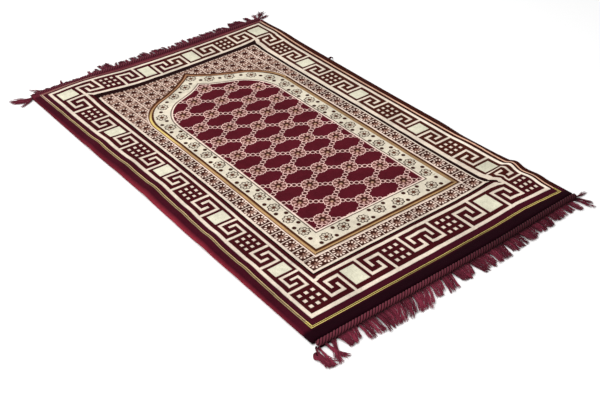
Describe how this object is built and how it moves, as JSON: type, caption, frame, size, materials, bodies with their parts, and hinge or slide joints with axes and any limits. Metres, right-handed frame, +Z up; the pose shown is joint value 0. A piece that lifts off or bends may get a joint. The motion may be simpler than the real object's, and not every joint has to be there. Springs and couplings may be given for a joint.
{
  "type": "prayer rug",
  "caption": "Plush pile prayer rug with an arched field and key border, lying flat, with a ribbed cord and a yarn fringe across each end.",
  "frame": {"origin": "on the floor under the middle of the whole rug, fringe included", "axes": "+X across the rug, +Y along it towards the end that the arch points at, +Z up out of the pile"},
  "size_m": [0.79, 1.214, 0.0168],
  "materials": {
    "pile": "maroon plush pile with a cream, gold and pink woven-look pattern",
    "cord": "dull maroon twisted yarn, ribbed aslant",
    "fringe": "soft maroon yarn, slightly fuzzy and matt"
  },
  "bodies": {
    "root": {"pile_cloth": "pile", "near_cord": "cord", "far_cord": "cord", "near_fringe": "fringe", "far_fringe": "fringe"}
  },
  "joints": []
}
